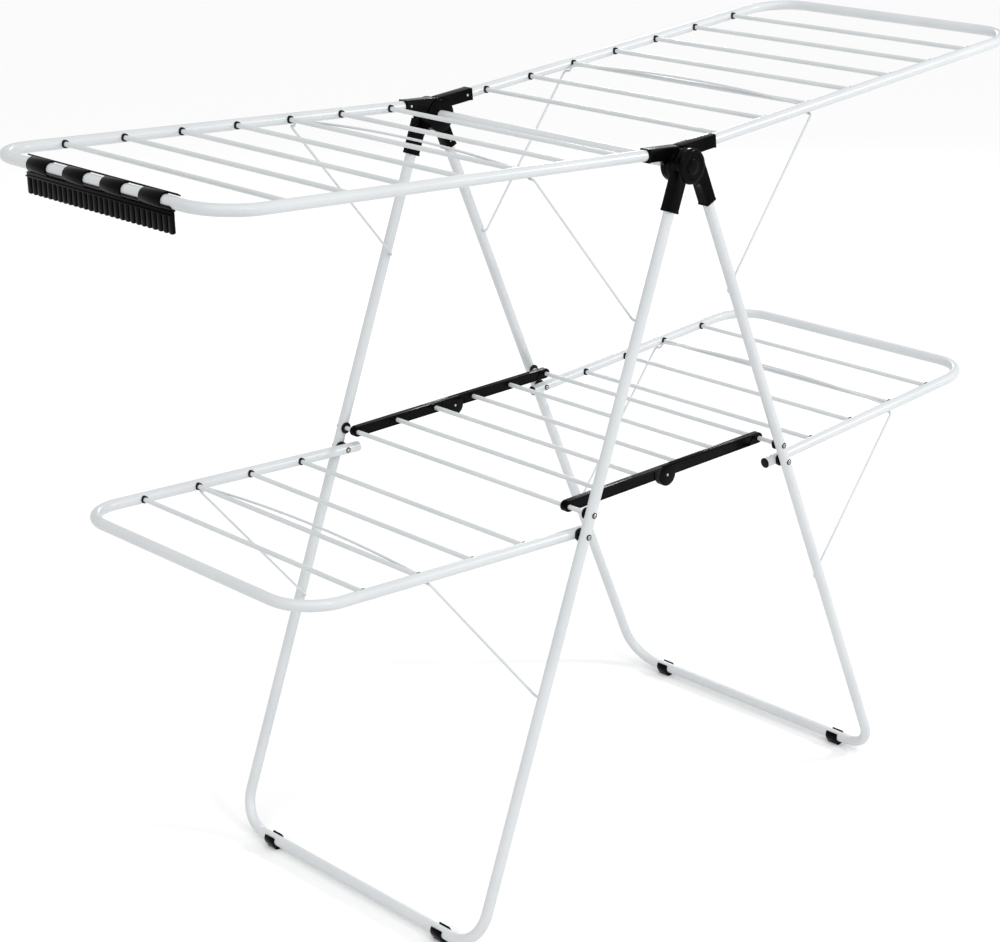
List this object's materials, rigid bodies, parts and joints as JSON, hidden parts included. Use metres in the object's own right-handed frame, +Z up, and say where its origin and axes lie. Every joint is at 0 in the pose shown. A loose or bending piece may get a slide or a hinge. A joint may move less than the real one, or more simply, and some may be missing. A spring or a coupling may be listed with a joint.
{
  "type": "clothes drying rack",
  "caption": "Folding two-tier clothes drying rack: an A of tube legs, two hinged upper wings, two lower wings, a folding centre shelf, wire stays and a clip bar for socks.",
  "frame": {"origin": "on the floor under the middle of the rack, halfway between the two leg frames and between the near and far sides", "axes": "+Z up, +X along the wings towards the wing without the sock clips, +Y across the rack towards the far side"},
  "size_m": [1.562, 0.566, 1.1409],
  "materials": {
    "white_coat": "white powder coat with a fine texture",
    "black_plastic": "moulded, glossy",
    "bright_steel": "plated"
  },
  "bodies": {
    "left_leg": {"left_leg_frame": "white_coat", "top_axle": "white_coat", "left_leg_hub_near": "black_plastic", "left_leg_hub_far": "black_plastic", "foot_clip_left_near": "black_plastic", "foot_clip_left_far": "black_plastic", "lower_left_pivot_near": "bright_steel", "lower_left_pivot_far": "bright_steel"},
    "right_leg": {"right_leg_frame": "white_coat", "right_leg_hub_near": "black_plastic", "right_leg_hub_far": "black_plastic", "foot_clip_right_near": "black_plastic", "foot_clip_right_far": "black_plastic", "lower_right_pivot_near": "bright_steel", "lower_right_pivot_far": "bright_steel"},
    "upper_left_wing": {"upper_left_wing_frame": "white_coat", "upper_left_wing_rod_1": "white_coat", "upper_left_wing_rod_2": "white_coat", "upper_left_wing_rod_3": "white_coat", "upper_left_wing_rod_4": "white_coat", "upper_left_wing_rod_5": "white_coat", "upper_left_wing_rod_6": "white_coat", "upper_left_wing_rod_7": "white_coat", "left_wing_hub_near": "black_plastic", "left_wing_hub_far": "black_plastic"},
    "lower_left_wing": {"lower_left_wing_frame": "white_coat", "lower_left_wing_rod_1": "white_coat", "lower_left_wing_rod_2": "white_coat", "lower_left_wing_rod_3": "white_coat", "lower_left_wing_rod_4": "white_coat"},
    "shelf_left_half": {"shelf_bar_near_left": "black_plastic", "shelf_bar_far_left": "black_plastic", "shelf_rod_1": "white_coat", "shelf_rod_2": "white_coat", "shelf_rod_3": "white_coat"},
    "upper_left_stay": {"upper_left_stay": "white_coat"},
    "lower_left_stay": {"lower_left_stay": "white_coat"},
    "upper_right_wing": {"upper_right_wing_frame": "white_coat", "upper_right_wing_rod_1": "white_coat", "upper_right_wing_rod_2": "white_coat", "upper_right_wing_rod_3": "white_coat", "upper_right_wing_rod_4": "white_coat", "upper_right_wing_rod_5": "white_coat", "upper_right_wing_rod_6": "white_coat", "upper_right_wing_rod_7": "white_coat", "right_wing_hub_near": "black_plastic", "right_wing_hub_far": "black_plastic"},
    "lower_right_wing": {"lower_right_wing_frame": "white_coat", "lower_right_wing_rod_1": "white_coat", "lower_right_wing_rod_2": "white_coat", "lower_right_wing_rod_3": "white_coat", "lower_right_wing_rod_4": "white_coat"},
    "shelf_right_half": {"shelf_bar_near_right": "black_plastic", "shelf_bar_far_right": "black_plastic", "shelf_rod_4": "white_coat", "shelf_rod_5": "white_coat", "shelf_rod_6": "white_coat"},
    "upper_right_stay": {"upper_right_stay": "white_coat"},
    "lower_right_stay": {"lower_right_stay": "white_coat"},
    "sock_clip_bar": {"sock_clip_bar": "black_plastic"}
  },
  "joints": [
    {"name": "leg_fold", "type": "hinge", "parent": "left_leg", "child": "right_leg", "pos_m": [0, 0, 1.0565], "axis": [0, 1, 0], "range_deg": [0, 39.5]},
    {"name": "shelf_left_fold", "type": "hinge", "parent": "left_leg", "child": "shelf_left_half", "pos_m": [-0.197, 0, 0.6013], "axis": [0, 1, 0], "range_deg": [-63.6, 0.5]},
    {"name": "shelf_knuckle", "type": "hinge", "parent": "shelf_left_half", "child": "shelf_right_half", "pos_m": [0, 0, 0.59579], "axis": [0, 1, 0], "range_deg": [-0.5, 165.7]},
    {"name": "upper_left_wing_fold", "type": "hinge", "parent": "left_leg", "child": "upper_left_wing", "pos_m": [0, 0, 1.0565], "axis": [0, -1, 0], "range_deg": [0, 68.8]},
    {"name": "lower_left_wing_fold", "type": "hinge", "parent": "left_leg", "child": "lower_left_wing", "pos_m": [-0.20849, 0, 0.5725], "axis": [0, -1, 0], "range_deg": [-0.5, 69]},
    {"name": "upper_left_stay_swing", "type": "hinge", "parent": "left_leg", "child": "upper_left_stay", "pos_m": [-0.09584, 0, 0.85486], "axis": [0, -1, 0], "range_deg": [-0.5, 117.7]},
    {"name": "lower_left_stay_swing", "type": "hinge", "parent": "left_leg", "child": "lower_left_stay", "pos_m": [-0.2952, 0, 0.35516], "axis": [0, -1, 0], "range_deg": [-0.5, 117.5]},
    {"name": "upper_right_wing_fold", "type": "hinge", "parent": "right_leg", "child": "upper_right_wing", "pos_m": [0, 0, 1.0565], "axis": [0, 1, 0], "range_deg": [0, 68.8]},
    {"name": "lower_right_wing_fold", "type": "hinge", "parent": "right_leg", "child": "lower_right_wing", "pos_m": [0.20849, 0, 0.5725], "axis": [0, 1, 0], "range_deg": [-0.5, 69]},
    {"name": "upper_right_stay_swing", "type": "hinge", "parent": "right_leg", "child": "upper_right_stay", "pos_m": [0.09584, 0, 0.85486], "axis": [0, 1, 0], "range_deg": [-0.5, 117.7]},
    {"name": "lower_right_stay_swing", "type": "hinge", "parent": "right_leg", "child": "lower_right_stay", "pos_m": [0.2952, 0, 0.35516], "axis": [0, 1, 0], "range_deg": [-0.5, 117.5]},
    {"name": "sock_bar_swivel", "type": "hinge", "parent": "upper_left_wing", "child": "sock_clip_bar", "pos_m": [-0.77148, 0, 1.12985], "axis": [0, 1, 0], "range_deg": [-30, 90]}
  ],
  "couplings": [
    {"joint": "shelf_left_fold", "follows": "leg_fold", "ratio": -1.5854},
    {"joint": "shelf_knuckle", "follows": "leg_fold", "ratio": 4.1708},
    {"joint": "lower_left_wing_fold", "follows": "upper_left_wing_fold", "ratio": 0.9964},
    {"joint": "upper_left_stay_swing", "follows": "upper_left_wing_fold", "ratio": 1.7039},
    {"joint": "lower_left_stay_swing", "follows": "upper_left_wing_fold", "ratio": 1.7007},
    {"joint": "lower_right_wing_fold", "follows": "upper_right_wing_fold", "ratio": 0.9964},
    {"joint": "upper_right_stay_swing", "follows": "upper_right_wing_fold", "ratio": 1.7039},
    {"joint": "lower_right_stay_swing", "follows": "upper_right_wing_fold", "ratio": 1.7007}
  ]
}
